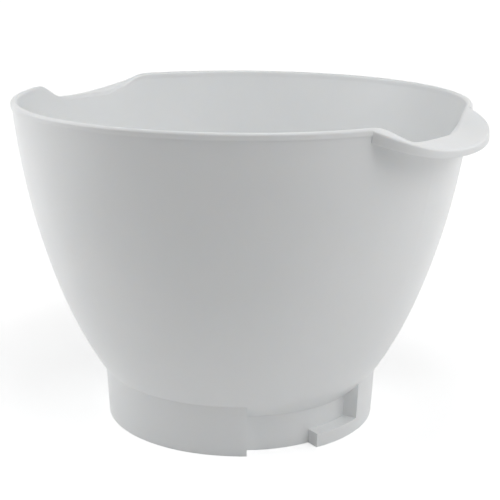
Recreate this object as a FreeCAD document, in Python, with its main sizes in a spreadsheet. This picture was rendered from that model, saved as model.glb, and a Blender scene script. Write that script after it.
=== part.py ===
import FreeCAD, Part
import math
import os
import Sketcher

# Bowl of a stand mixer: one moulded piece, with two ears on the rim and a bayonet foot.
# The origin is the centre of the sole, +Z points up, and the ears lie along X.
# Sizes are in millimetres and degrees. Angles are counted from +X towards +Y.

SIZES = [
    # Bowl wall
    ("bowl_height", 172.0, "sole to the top of the rim"),
    ("wall", 2.6, "thickness of the bowl wall and floor"),
    ("rim_overhang", 46.3, "outside of the wall at the rim beyond the sole of the foot"),
    ("floor_inset", 39.9, "edge of the flat floor inside the sole of the foot"),
    ("floor_height", 7.5, "underside of the floor above the sole"),
    ("heel_radius", 53.5, "curve from the floor up to the belly"),
    ("heel_drop", 27.7, "centre of the heel's curve down to where the heel meets the belly"),
    ("belly_radius", 225.0, "curve of the belly"),
    ("belly_top", 70.0, "height where the belly meets the upper wall"),
    # Rim bead
    ("bead_height", 3.2, "height of the bead on the rim"),
    ("bead_outside", 0.5, "how far the bead stands out of the wall"),
    ("bead_inside", 0.25, "how far the bead stands into the bowl"),
    ("bead_round", 1.3, "round on the top of the bead"),
    # Ears
    ("ear_half_angle", 22.1, "half of the rim that one ear takes"),
    ("ear_reach", 14.7, "how far an ear stands out of the bead"),
    ("ear_squareness", 4.4, "exponent of the ear's outline, more is squarer"),
    ("ear_round", 2.6, "round on the inner edge at the middle of the ear"),
    ("skirt_height", 4.2, "height of the ear's outer face at its middle"),
    ("skirt_end_height", 6.2, "height of the ear's outer face at its ends"),
    ("skirt_wall", 1.7, "thickness of the ear's outer face"),
    ("skirt_drop", 15.5, "rim top to the foot of the skirt at the middle of the ear"),
    ("skirt_end_drop", 6.7, "rim top to the foot of the skirt at the ends of the ear"),
    ("skirt_sag", 2.2, "exponent of the skirt's edge as it sinks"),
    ("dip_depth", 9.1, "how far the rim dips at an ear"),
    ("dip_half_angle", 21.3, "half of the rim that dips"),
    ("dip_floor_angle", 8.0, "half of the level part of the dip"),
    # Foot
    ("foot_radius", 72.9, "outside of the foot at the sole"),
    ("foot_draft", 3.0, "angle by which the foot widens upwards"),
    ("foot_wall", 3.0, "thickness of the foot"),
    ("slot_depth", 7.4, "how deep a bayonet slot is set into the foot at the sole"),
    ("slot_start", -48.5, "angle where a slot begins"),
    ("slot_span", 53.9, "angle that a slot takes"),
    ("ledge_span", 24.0, "part of the slot closed by the ledge below"),
    ("ledge_height", 7.5, "top of the ledge above the sole"),
]

EAR_STATIONS = 13
OPPOSITE_SIDES = 2
FULL_TURN = 360.0
HALF_TURN = 180.0

START, END, CENTRE = range(1, 4)
LEVEL_AXIS, UPRIGHT_AXIS = range(-1, -3, -1)
ORIGIN = (LEVEL_AXIS, START)

doc = FreeCAD.newDocument("MixerBowl")
sheet = doc.addObject("Spreadsheet::Sheet", "Sizes")
for row, (alias, number, meaning) in enumerate(SIZES, start=1):
    sheet.set(f"A{row}", meaning)
    sheet.set(f"B{row}", str(number))
    sheet.setAlias(f"B{row}", alias)
doc.recompute()

body = doc.addObject("PartDesign::Body", "Bowl")
body.Label = "bowl"


def sized(text):
    """Turns size names in a formula into references to the sheet."""
    names = sorted((alias for alias, number, meaning in SIZES), key=len, reverse=True)
    for place, name in enumerate(names):
        text = text.replace(name, f"<{place}>")
    for place, name in enumerate(names):
        text = text.replace(f"<{place}>", f"Sizes.{name}")
    return text


def value(text):
    return float(sheet.evalExpression(sized(text)))


def point(x_text, z_text):
    return FreeCAD.Vector(value(x_text), value(z_text), 0)


def origin_plane(role):
    return next(plane for plane in body.Origin.OriginFeatures if plane.Role == role)


def new_sketch(name, role="XZ_Plane", turn=None):
    """A sketch on a plane of the body; turn is its angle about the bowl's axis."""
    sketch = body.newObject("Sketcher::SketchObject", name)
    sketch.AttachmentSupport = (origin_plane(role), "")
    sketch.MapMode = "FlatFace"
    if turn is not None:
        about_axis = FreeCAD.Rotation(FreeCAD.Vector(0, 1, 0), value(turn))
        sketch.AttachmentOffset = FreeCAD.Placement(FreeCAD.Vector(), about_axis)
        sketch.setExpression(".AttachmentOffset.Rotation.Angle", sized(turn))
    return sketch


def measure(sketch, kind, places, text):
    """A driving constraint bound to a formula of sizes."""
    index = sketch.addConstraint(Sketcher.Constraint(kind, *places, value(text)))
    sketch.setExpression(f"Constraints[{index}]", sized(text))


def relate(sketch, kind, *places):
    sketch.addConstraint(Sketcher.Constraint(kind, *places))


def pin(sketch, edge, end, x_text, z_text):
    measure(sketch, "DistanceX", (*ORIGIN, edge, end), x_text)
    measure(sketch, "DistanceY", (*ORIGIN, edge, end), z_text)


def on_circle(angle, radius):
    """Step from a circle's centre out to it, at an angle in radians."""
    return FreeCAD.Vector(math.cos(angle), math.sin(angle), 0) * radius


def arc(centre, radius, first, last):
    """An arc, counter-clockwise from one angle in radians to another."""
    circle = Part.Circle(centre, FreeCAD.Vector(0, 0, 1), radius)
    return Part.ArcOfCircle(circle, first, last)


def polygon(sketch, corners):
    """A closed outline of straight lines through corners given as formulas."""
    spots = [point(*corner) for corner in corners]
    for place, spot in enumerate(spots):
        sketch.addGeometry(Part.LineSegment(spot, spots[(place + 1) % len(spots)]))
    for place, corner in enumerate(corners):
        relate(sketch, "Coincident", place - 1 if place else len(spots) - 1, END, place, START)
        pin(sketch, place, START, *corner)


def block(sketch, low_x, high_x, low_z, high_z):
    polygon(sketch, [(low_x, low_z), (high_x, low_z), (high_x, high_z), (low_x, high_z)])


def turned(kind, sketch, name, angle=None):
    """A revolution or a groove about the bowl's axis."""
    feature = body.newObject(f"PartDesign::{kind}", name)
    feature.Profile = sketch
    feature.ReferenceAxis = (sketch, ["V_Axis"])
    feature.Angle = FULL_TURN
    if angle is not None:
        feature.Angle = value(angle)
        feature.setExpression("Angle", sized(angle))
    doc.recompute()
    return feature


def repeat_opposite(name, originals):
    """Repeats features on the far side of the bowl."""
    pattern = body.newObject("PartDesign::PolarPattern", name)
    pattern.Originals = originals
    pattern.Axis = (origin_axis(), [""])
    pattern.Angle = FULL_TURN
    pattern.Occurrences = OPPOSITE_SIDES
    body.Tip = pattern
    doc.recompute()
    return pattern


def origin_axis():
    return next(axis for axis in body.Origin.OriginFeatures if axis.Role == "Z_Axis")


# Bowl and foot share these

floor_radius = "(foot_radius - floor_inset)"
wall_radius = "(foot_radius + rim_overhang)"
heel_middle = (floor_radius, "floor_height + heel_radius")
heel_top = "(floor_height + heel_radius - heel_drop)"

# Foot
# A ring whose top ends halfway through the bowl's wall, so that it follows the heel.


def foot_section(name, low_x, turn=None):
    sketch = new_sketch(name, turn=turn)
    heel_centre = point(*heel_middle)
    mid_wall = value("heel_radius - wall / 2")
    inner_sole = point(low_x, "0")
    outer_sole = point("foot_radius", "0")
    inner_angle = -math.acos((inner_sole.x - heel_centre.x) / mid_wall)
    inner_top = heel_centre + on_circle(inner_angle, mid_wall)
    outwards = on_circle(math.radians(value("90 - foot_draft")), 1)
    away = outer_sole - heel_centre
    climb = -away.dot(outwards) - math.sqrt(away.dot(outwards) ** 2 - away.dot(away) + mid_wall ** 2)
    outer_top = outer_sole + outwards * climb
    outer_angle = math.atan2(outer_top.y - heel_centre.y, outer_top.x - heel_centre.x)
    sole, outside, top, inside = range(4)
    sketch.addGeometry(Part.LineSegment(inner_sole, outer_sole))
    sketch.addGeometry(Part.LineSegment(outer_sole, outer_top))
    sketch.addGeometry(arc(heel_centre, mid_wall, inner_angle, outer_angle))
    sketch.addGeometry(Part.LineSegment(inner_top, inner_sole))
    relate(sketch, "Coincident", sole, END, outside, START)
    relate(sketch, "Coincident", outside, END, top, END)
    relate(sketch, "Coincident", top, START, inside, START)
    relate(sketch, "Coincident", inside, END, sole, START)
    measure(sketch, "Angle", (outside,), "90 - foot_draft")
    relate(sketch, "Vertical", inside)
    relate(sketch, "PointOnObject", sole, START, LEVEL_AXIS)
    relate(sketch, "PointOnObject", sole, END, LEVEL_AXIS)
    measure(sketch, "DistanceX", (*ORIGIN, sole, START), low_x)
    measure(sketch, "DistanceX", (*ORIGIN, sole, END), "foot_radius")
    pin(sketch, top, CENTRE, *heel_middle)
    measure(sketch, "Radius", (top,), "heel_radius - wall / 2")
    return sketch


foot_inside = "foot_radius - foot_wall"
slot_radius = "foot_radius - slot_depth"
slot_wall_inside = "foot_radius - slot_depth - foot_wall"
slot_wall_angle = "foot_wall / (foot_radius - slot_depth) * 180 / pi"
above_foot = f"{heel_top} + foot_wall"
beyond_foot = "foot_radius + foot_wall"

turned("Revolution", foot_section("FootSection", foot_inside), "FootRing")

# Bayonet slots
# Each slot is an L: it opens at the sole, then runs on above a ledge that the lug turns over.

slot_case = turned(
    "Revolution",
    foot_section("SlotCaseSection", slot_wall_inside, f"slot_start - {slot_wall_angle}"),
    "SlotCase",
    f"slot_span + 2 * {slot_wall_angle}",
)

slot_sketch = new_sketch("SlotSection", turn="slot_start")
block(slot_sketch, slot_radius, beyond_foot, "ledge_height", above_foot)
slot = turned("Groove", slot_sketch, "Slot", "slot_span")

entry_sketch = new_sketch("EntrySection", turn="slot_start")
block(entry_sketch, slot_radius, beyond_foot, "-foot_wall", "ledge_height + foot_wall")
entry = turned("Groove", entry_sketch, "SlotEntry", "slot_span - ledge_span")

repeat_opposite("SlotsOppositePair", [slot_case, slot, entry])

# Bowl wall
# Three arcs run tangent from the floor to the rim, and the inside follows them one wall away.

wall_top = "(bowl_height - bead_height / 2)"


def wall_section():
    sketch = new_sketch("WallSection")
    wall = value("wall")
    heel_radius, belly_radius = value("heel_radius"), value("belly_radius")
    rim = point(wall_radius, wall_top)
    heel = point(*heel_middle)
    heel_angle = -math.asin(value("heel_drop") / heel_radius)
    belly = heel - on_circle(heel_angle, belly_radius - heel_radius)
    belly_angle = math.asin((value("belly_top") - belly.y) / belly_radius)
    belly_out = on_circle(belly_angle, 1)
    reach = rim - belly
    growth = (reach.dot(reach) - belly_radius ** 2) / (2 * (belly_radius - reach.dot(belly_out)))
    upper = belly - belly_out * growth
    upper_radius = belly_radius + growth
    inner_radius = upper_radius - wall
    rim_angle = math.asin((rim.y - upper.y) / upper_radius)
    inner_rim_angle = math.asin((rim.y - upper.y) / inner_radius)
    inner_rim = upper + on_circle(inner_rim_angle, inner_radius)
    straight_down = -math.pi / 2
    underside = point("0", "floor_height")
    floor_edge = point(floor_radius, "floor_height")
    inner_edge = point(floor_radius, "floor_height + wall")
    inner_middle = point("0", "floor_height + wall")

    floor, heel_arc, belly_arc, upper_arc, top, upper_in, belly_in, heel_in, floor_in, axis = range(10)
    sketch.addGeometry(Part.LineSegment(underside, floor_edge))
    sketch.addGeometry(arc(heel, heel_radius, straight_down, heel_angle))
    sketch.addGeometry(arc(belly, belly_radius, heel_angle, belly_angle))
    sketch.addGeometry(arc(upper, upper_radius, belly_angle, rim_angle))
    sketch.addGeometry(Part.LineSegment(rim, inner_rim))
    sketch.addGeometry(arc(upper, inner_radius, belly_angle, inner_rim_angle))
    sketch.addGeometry(arc(belly, belly_radius - wall, heel_angle, belly_angle))
    sketch.addGeometry(arc(heel, heel_radius - wall, straight_down, heel_angle))
    sketch.addGeometry(Part.LineSegment(inner_edge, inner_middle))
    sketch.addGeometry(Part.LineSegment(inner_middle, underside))

    relate(sketch, "PointOnObject", floor, START, UPRIGHT_AXIS)
    relate(sketch, "Horizontal", floor)
    pin(sketch, floor, END, floor_radius, "floor_height")
    relate(sketch, "Tangent", floor, END, heel_arc, START)
    relate(sketch, "Tangent", heel_arc, END, belly_arc, START)
    relate(sketch, "Tangent", belly_arc, END, upper_arc, START)
    measure(sketch, "Radius", (heel_arc,), "heel_radius")
    measure(sketch, "Radius", (belly_arc,), "belly_radius")
    measure(sketch, "DistanceY", (*ORIGIN, heel_arc, END), heel_top)
    measure(sketch, "DistanceY", (*ORIGIN, belly_arc, END), "belly_top")
    pin(sketch, upper_arc, END, wall_radius, wall_top)
    relate(sketch, "Coincident", upper_arc, END, top, START)
    relate(sketch, "Horizontal", top)
    relate(sketch, "Coincident", top, END, upper_in, END)
    relate(sketch, "Coincident", upper_in, CENTRE, upper_arc, CENTRE)
    relate(sketch, "Coincident", belly_in, CENTRE, belly_arc, CENTRE)
    relate(sketch, "Coincident", heel_in, CENTRE, heel_arc, CENTRE)
    relate(sketch, "Tangent", upper_in, START, belly_in, END)
    relate(sketch, "Tangent", belly_in, START, heel_in, END)
    measure(sketch, "Radius", (heel_in,), "heel_radius - wall")
    relate(sketch, "Tangent", heel_in, START, floor_in, START)
    relate(sketch, "Horizontal", floor_in)
    relate(sketch, "PointOnObject", floor_in, END, UPRIGHT_AXIS)
    relate(sketch, "Coincident", floor_in, END, axis, START)
    relate(sketch, "Coincident", axis, END, floor, START)
    return sketch


turned("Revolution", wall_section(), "BowlWall")

# Dips in the wall under the ears
# The cut stays inside the bead that is laid over it, half a bead below its top.

dip_floor = f"{wall_top} - dip_depth"
above_rim = "bowl_height + bead_height"
dip_slope = f"dip_depth / ({wall_radius} * (sin(dip_half_angle) - sin(dip_floor_angle)))"
dip_mouth = f"{wall_radius} * sin(dip_half_angle) + (bead_height / 2 + bead_height) / ({dip_slope})"
dip_bottom = f"{wall_radius} * sin(dip_floor_angle)"
dip_sketch = new_sketch("DipSection", role="YZ_Plane")
polygon(dip_sketch, [
    (f"-({dip_mouth})", above_rim),
    (f"-({dip_bottom})", dip_floor),
    (dip_bottom, dip_floor),
    (dip_mouth, above_rim),
])
dips = body.newObject("PartDesign::Pocket", "Dips")
dips.Profile = dip_sketch
dips.Type = "ThroughAll"
dips.Midplane = True
doc.recompute()

# Rim bead and ears
# Every section of the rim has the same nine edges. Between the ears it is a plain bead. Along an
# ear its back sinks into the dip, and its outer face swings out as a skirt that hangs lower, with
# a hollow under it.

bead_face = f"({wall_radius} + bead_outside)"
bead_back = f"({wall_radius} - wall - bead_inside)"
root_x = f"({wall_radius} - wall / 2)"


def rim_section(name, turn, crest, inner_round, edge_x, edge_top, edge_low):
    """Section from the bead's back, whose top is the crest, out to the skirt."""
    inner_radius, outer_radius = value(inner_round), value("bead_round")
    inner_centre = point(f"{bead_back} + {inner_round}", f"{crest} - {inner_round}")
    outer_centre = point(f"{edge_x} - bead_round", f"{edge_top} - bead_round")
    along = outer_centre - inner_centre
    upright = math.atan2(along.y, along.x) + math.acos((inner_radius - outer_radius) / along.Length)
    back_low = point(bead_back, f"{crest} - bead_height")
    back_high = point(bead_back, f"{crest} - {inner_round}")
    top_in = inner_centre + on_circle(upright, inner_radius)
    top_out = outer_centre + on_circle(upright, outer_radius)
    face_high = point(edge_x, f"{edge_top} - bead_round")
    face_low = point(edge_x, edge_low)
    skirt_low = point(f"{edge_x} - skirt_wall", edge_low)
    skirt_high = point(f"{edge_x} - skirt_wall", f"{edge_top} - wall")
    root = point(root_x, f"{crest} - bead_height")

    sketch = new_sketch(name, turn=turn)
    back, round_in, top, round_out, face, sole, inside, underside, bottom = range(9)
    sketch.addGeometry(Part.LineSegment(back_low, back_high))
    sketch.addGeometry(arc(inner_centre, inner_radius, upright, math.pi))
    sketch.addGeometry(Part.LineSegment(top_in, top_out))
    sketch.addGeometry(arc(outer_centre, outer_radius, 0, upright))
    sketch.addGeometry(Part.LineSegment(face_high, face_low))
    sketch.addGeometry(Part.LineSegment(face_low, skirt_low))
    sketch.addGeometry(Part.LineSegment(skirt_low, skirt_high))
    sketch.addGeometry(Part.LineSegment(skirt_high, root))
    sketch.addGeometry(Part.LineSegment(root, back_low))

    pin(sketch, back, START, bead_back, f"{crest} - bead_height")
    relate(sketch, "Vertical", back)
    relate(sketch, "Tangent", back, END, round_in, END)
    pin(sketch, round_in, CENTRE, f"{bead_back} + {inner_round}", f"{crest} - {inner_round}")
    relate(sketch, "Tangent", round_in, START, top, START)
    relate(sketch, "Tangent", top, END, round_out, END)
    pin(sketch, round_out, CENTRE, f"{edge_x} - bead_round", f"{edge_top} - bead_round")
    relate(sketch, "Tangent", round_out, START, face, START)
    relate(sketch, "Vertical", face)
    pin(sketch, sole, START, edge_x, edge_low)
    relate(sketch, "Coincident", face, END, sole, START)
    relate(sketch, "Coincident", sole, END, inside, START)
    relate(sketch, "Horizontal", sole)
    relate(sketch, "Vertical", inside)
    pin(sketch, underside, START, f"{edge_x} - skirt_wall", f"{edge_top} - wall")
    relate(sketch, "Coincident", inside, END, underside, START)
    relate(sketch, "Coincident", underside, END, bottom, START)
    pin(sketch, bottom, START, root_x, f"{crest} - bead_height")
    relate(sketch, "Coincident", bottom, END, back, START)
    return sketch


def ear_section(name, fraction):
    """Section at a fraction of the ear's half width, where -1 and 1 are its two ends."""
    away = f"{abs(fraction):.6f}"
    ramp = f"(dip_half_angle - {away} * ear_half_angle) / (dip_half_angle - dip_floor_angle)"
    ramp = f"max(0; min(1; {ramp}))"
    crest = f"(bowl_height - dip_depth * ({ramp}) ^ 2 * (3 - 2 * {ramp}))"
    edge_x = f"({bead_face} + ear_reach * (1 - {away} ^ ear_squareness))"
    sag = f"(1 - {away} ^ skirt_sag)"
    edge_low = f"(bowl_height - skirt_end_drop - (skirt_drop - skirt_end_drop) * {sag})"
    edge_top = f"({edge_low} + skirt_end_height - (skirt_end_height - skirt_height) * {sag})"
    inner_round = f"(bead_round + (ear_round - bead_round) * {sag})"
    turn = f"{fraction:.6f} * ear_half_angle"
    return rim_section(name, turn, crest, inner_round, edge_x, edge_top, edge_low)


bead = turned(
    "Revolution",
    rim_section(
        "BeadSection", "ear_half_angle", "bowl_height", "bead_round",
        bead_face, "bowl_height", "(bowl_height - bead_height)",
    ),
    "Bead",
    "180 - 2 * ear_half_angle",
)

ear_sections = []
for station in range(EAR_STATIONS):
    swing = -HALF_TURN / 2 + HALF_TURN * station / (EAR_STATIONS - 1)
    ear_sections.append(ear_section(f"EarSection{station + 1:02d}", math.sin(math.radians(swing))))
ear = body.newObject("PartDesign::AdditiveLoft", "Ear")
ear.Profile = ear_sections[0]
ear.Sections = ear_sections[1:]
ear.Ruled = False
ear.Closed = False
doc.recompute()

repeat_opposite("RimOppositePair", [bead, ear])

# Check and write

doc.recompute()
for item in doc.Objects:
    if "Invalid" in item.State or "Error" in item.State:
        raise RuntimeError(f"{item.Name} did not build: {item.State}")
if body.Shape.isNull() or not body.Shape.isValid() or len(body.Shape.Solids) != 1:
    raise RuntimeError("the bowl is not one valid solid")

os.makedirs("parts", exist_ok=True)
body.Shape.exportStep(f"parts/{body.Label}.step")
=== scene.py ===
import math

import bpy
from mathutils import Matrix, Vector

# Bowl of a stand mixer, in satin white plastic, on a white table under studio light.
# Lengths are in metres and angles in degrees, in the part's own frame: the origin is the
# centre of the sole, +Z points up, and the ears lie along X. Colours are linear.

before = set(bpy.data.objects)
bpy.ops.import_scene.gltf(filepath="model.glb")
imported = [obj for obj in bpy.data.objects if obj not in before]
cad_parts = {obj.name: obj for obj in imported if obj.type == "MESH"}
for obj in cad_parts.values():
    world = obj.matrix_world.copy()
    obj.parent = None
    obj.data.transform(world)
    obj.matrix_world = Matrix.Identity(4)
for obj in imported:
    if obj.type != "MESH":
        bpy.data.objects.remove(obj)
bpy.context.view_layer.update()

# Camera, fitted to the rim, the ears, the foot and the outline in the photograph.
# The lens and the sensor are in millimetres.
CAMERA_TURN = 38.85
CAMERA_DISTANCE = 0.6388
CAMERA_HEIGHT = 0.2582
CAMERA_PITCH = 14.89
CAMERA_YAW = 0.435
CAMERA_ROLL = 0.39
LENS = 87.6
SENSOR = 36.0

# Floor. Where it is seen it is filled up to white. The fill rises with the distance from the
# bowl's axis, so that the shadow close to the bowl stays.
FLOOR_SIZE = 40.0
FLOOR_TONE = (0.95, 0.95, 0.95, 1.0)
FILL_NEAR = 0.45
FILL_FAR = 1.0
FILL_RISE_START = 0.12
FILL_RISE_END = 0.70

# Light from all round, and the sky that is seen
WHITE = (1.0, 1.0, 1.0, 1.0)
WORLD_GLOW = 0.08
SKY_GLOW = 1.0

# Lamps. Glow is proportional to a lamp's power for its area.
LIGHT_AIM = Vector((0.0, 0.0, 0.09))
# name, azimuth from the camera's side to the right, elevation, distance, side, glow
SOFTBOXES = [
    ("left_light", -90.0, 25.0, 0.60, 0.50, 2.10),
    ("right_light", 90.0, 25.0, 0.60, 0.50, 1.20),
    ("front_right_light", 40.0, 40.0, 1.20, 0.80, 1.90),
    ("top_light", 20.0, 73.6, 0.53, 0.20, 4.50),
    ("back_light", 180.0, 65.0, 1.20, 0.80, 0.25),
]

# Plastic
TONE_DARK = (0.853, 0.867, 0.872, 1.0)
TONE_LIGHT = (0.872, 0.883, 0.887, 1.0)
REFRACTION = 1.49
DEPTH_SHARE = 0.25
DEPTH = 0.003
DEPTH_BY_COLOUR = (1.0, 0.9, 0.8)
# A range that began at 0.27 left dark patches in the render
ROUGHNESS_LOW = 0.30
ROUGHNESS_HIGH = 0.38

# Patterns in the plastic: patches per metre, and layers of finer detail
CLOUDS = (18.0, 3.0)
FLOW_MARKS = (45.0, 4.0)
WAVES = (70.0, 2.0)
GRAIN = (1600.0, 2.0)
# A small scale along Z draws the flow marks out up the wall
FLOW_SCALES = (1.0, 1.0, 0.15)
WAVE_HEIGHT = 0.00006
GRAIN_HEIGHT = 0.000008
# The part of a noise pattern that is spread over a full range of values
NOISE_LOW = 0.3
NOISE_HIGH = 0.7


def turn(angle, axis):
    return Matrix.Rotation(math.radians(angle), 4, axis)


def add_object(name, data):
    thing = bpy.data.objects.new(name, data)
    bpy.context.scene.collection.objects.link(thing)
    return thing


def add_camera():
    data = bpy.data.cameras.new("camera")
    data.lens = LENS
    data.sensor_width = SENSOR
    camera = add_object("camera", data)
    place = Matrix.Translation((0.0, -CAMERA_DISTANCE, CAMERA_HEIGHT))
    aim = turn(-CAMERA_YAW, "Z") @ turn(90.0 - CAMERA_PITCH, "X") @ turn(CAMERA_ROLL, "Z")
    camera.matrix_world = turn(CAMERA_TURN, "Z") @ place @ aim
    bpy.context.scene.camera = camera


def add_softbox(name, azimuth, elevation, distance, side, glow):
    """A square lamp that faces the bowl."""
    data = bpy.data.lights.new(name, "AREA")
    data.shape = "SQUARE"
    data.size = side
    data.energy = glow * math.pi * side * side
    lamp = add_object(name, data)
    away = turn(CAMERA_TURN + azimuth, "Z") @ turn(-elevation, "X") @ Vector((0.0, -distance, 0.0))
    lamp.location = LIGHT_AIM + away
    lamp.rotation_euler = away.to_track_quat("Z", "Y").to_euler()
    lamp.visible_camera = False


def seen_or_mirrored(tree):
    """1 for rays from the camera, a mirror or glass, and 0 for the rays that carry light."""
    path = tree.nodes.new("ShaderNodeLightPath")
    found = path.outputs["Is Camera Ray"]
    for ray in ("Is Glossy Ray", "Is Transmission Ray"):
        either = tree.nodes.new("ShaderNodeMath")
        either.operation = "MAXIMUM"
        tree.links.new(found, either.inputs[0])
        tree.links.new(path.outputs[ray], either.inputs[1])
        found = either.outputs["Value"]
    return found


def background(tree, glow):
    node = tree.nodes.new("ShaderNodeBackground")
    node.inputs["Color"].default_value = WHITE
    node.inputs["Strength"].default_value = glow
    return node.outputs["Background"]


def light_world():
    """Faint plain light from all round, and a white sky wherever it is seen or mirrored."""
    world = bpy.data.worlds.new("studio")
    bpy.context.scene.world = world
    world.use_nodes = True
    tree = world.node_tree
    tree.nodes.clear()
    output = tree.nodes.new("ShaderNodeOutputWorld")
    mix = tree.nodes.new("ShaderNodeMixShader")
    tree.links.new(seen_or_mirrored(tree), mix.inputs["Fac"])
    tree.links.new(background(tree, WORLD_GLOW), mix.inputs[1])
    tree.links.new(background(tree, SKY_GLOW), mix.inputs[2])
    tree.links.new(mix.outputs["Shader"], output.inputs["Surface"])


def floor_card():
    """White card. Where it is seen it is filled up to white, with the bowl's shadow on it."""
    material = bpy.data.materials.new("floor_card")
    material.use_nodes = True
    tree = material.node_tree
    tree.nodes.clear()
    output = tree.nodes.new("ShaderNodeOutputMaterial")
    card = tree.nodes.new("ShaderNodeBsdfDiffuse")
    card.inputs["Color"].default_value = FLOOR_TONE
    fill = tree.nodes.new("ShaderNodeEmission")
    place = tree.nodes.new("ShaderNodeTexCoord").outputs["Object"]
    away = tree.nodes.new("ShaderNodeVectorMath")
    away.operation = "LENGTH"
    tree.links.new(place, away.inputs["Vector"])
    rise = tree.nodes.new("ShaderNodeMapRange")
    rise.inputs["From Min"].default_value = FILL_RISE_START
    rise.inputs["From Max"].default_value = FILL_RISE_END
    rise.inputs["To Min"].default_value = FILL_NEAR
    rise.inputs["To Max"].default_value = FILL_FAR
    tree.links.new(away.outputs["Value"], rise.inputs["Value"])
    tree.links.new(rise.outputs["Result"], fill.inputs["Strength"])
    filled = tree.nodes.new("ShaderNodeAddShader")
    mix = tree.nodes.new("ShaderNodeMixShader")
    tree.links.new(card.outputs["BSDF"], filled.inputs[0])
    tree.links.new(fill.outputs["Emission"], filled.inputs[1])
    tree.links.new(seen_or_mirrored(tree), mix.inputs["Fac"])
    tree.links.new(card.outputs["BSDF"], mix.inputs[1])
    tree.links.new(filled.outputs["Shader"], mix.inputs[2])
    tree.links.new(mix.outputs["Shader"], output.inputs["Surface"])
    return material


def add_floor():
    mesh = bpy.data.meshes.new("floor")
    half = FLOOR_SIZE / 2
    corners = [(-half, -half, 0.0), (half, -half, 0.0), (half, half, 0.0), (-half, half, 0.0)]
    mesh.from_pydata(corners, [], [(0, 1, 2, 3)])
    floor = add_object("floor", mesh)
    mesh.materials.append(floor_card())


def noise(tree, place, scale, detail):
    node = tree.nodes.new("ShaderNodeTexNoise")
    node.inputs["Scale"].default_value = scale
    node.inputs["Detail"].default_value = detail
    tree.links.new(place, node.inputs["Vector"])
    return node.outputs["Fac"]


def stretched(tree, place, scales):
    """The same place with each axis scaled, for patterns that run in one direction."""
    node = tree.nodes.new("ShaderNodeMapping")
    node.inputs["Scale"].default_value = scales
    tree.links.new(place, node.inputs["Vector"])
    return node.outputs["Vector"]


def spread(tree, pattern, low, high):
    """Maps the middle of a noise pattern to a range of values."""
    node = tree.nodes.new("ShaderNodeMapRange")
    node.inputs["From Min"].default_value = NOISE_LOW
    node.inputs["From Max"].default_value = NOISE_HIGH
    node.inputs["To Min"].default_value = low
    node.inputs["To Max"].default_value = high
    tree.links.new(pattern, node.inputs["Value"])
    return node.outputs["Result"]


def bump(tree, pattern, height, below=None):
    """Fine relief, laid over the relief below where that is given."""
    node = tree.nodes.new("ShaderNodeBump")
    node.inputs["Strength"].default_value = 1.0
    node.inputs["Distance"].default_value = height
    tree.links.new(pattern, node.inputs["Height"])
    if below is not None:
        tree.links.new(below, node.inputs["Normal"])
    return node.outputs["Normal"]


def white_plastic():
    """Satin moulded plastic: a little light passes into it, and its skin is not quite even."""
    material = bpy.data.materials.new("white_plastic")
    material.use_nodes = True
    tree = material.node_tree
    plastic = tree.nodes["Principled BSDF"]
    plastic.inputs["IOR"].default_value = REFRACTION
    plastic.inputs["Subsurface Weight"].default_value = DEPTH_SHARE
    plastic.inputs["Subsurface Radius"].default_value = DEPTH_BY_COLOUR
    plastic.inputs["Subsurface Scale"].default_value = DEPTH
    place = tree.nodes.new("ShaderNodeTexCoord").outputs["Object"]

    clouds = noise(tree, place, *CLOUDS)
    tint = tree.nodes.new("ShaderNodeMix")
    tint.data_type = "RGBA"
    tint.inputs["A"].default_value = TONE_DARK
    tint.inputs["B"].default_value = TONE_LIGHT
    tree.links.new(spread(tree, clouds, 0.0, 1.0), tint.inputs["Factor"])
    tree.links.new(tint.outputs["Result"], plastic.inputs["Base Color"])

    flow_marks = noise(tree, stretched(tree, place, FLOW_SCALES), *FLOW_MARKS)
    roughness = spread(tree, flow_marks, ROUGHNESS_LOW, ROUGHNESS_HIGH)
    tree.links.new(roughness, plastic.inputs["Roughness"])

    waves = bump(tree, noise(tree, place, *WAVES), WAVE_HEIGHT)
    grain = bump(tree, noise(tree, place, *GRAIN), GRAIN_HEIGHT, waves)
    tree.links.new(grain, plastic.inputs["Normal"])
    return material


bpy.context.scene.view_settings.view_transform = "Standard"
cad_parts["bowl"].material_slots[0].material = white_plastic()
add_floor()
add_camera()
light_world()
for softbox in SOFTBOXES:
    add_softbox(*softbox)
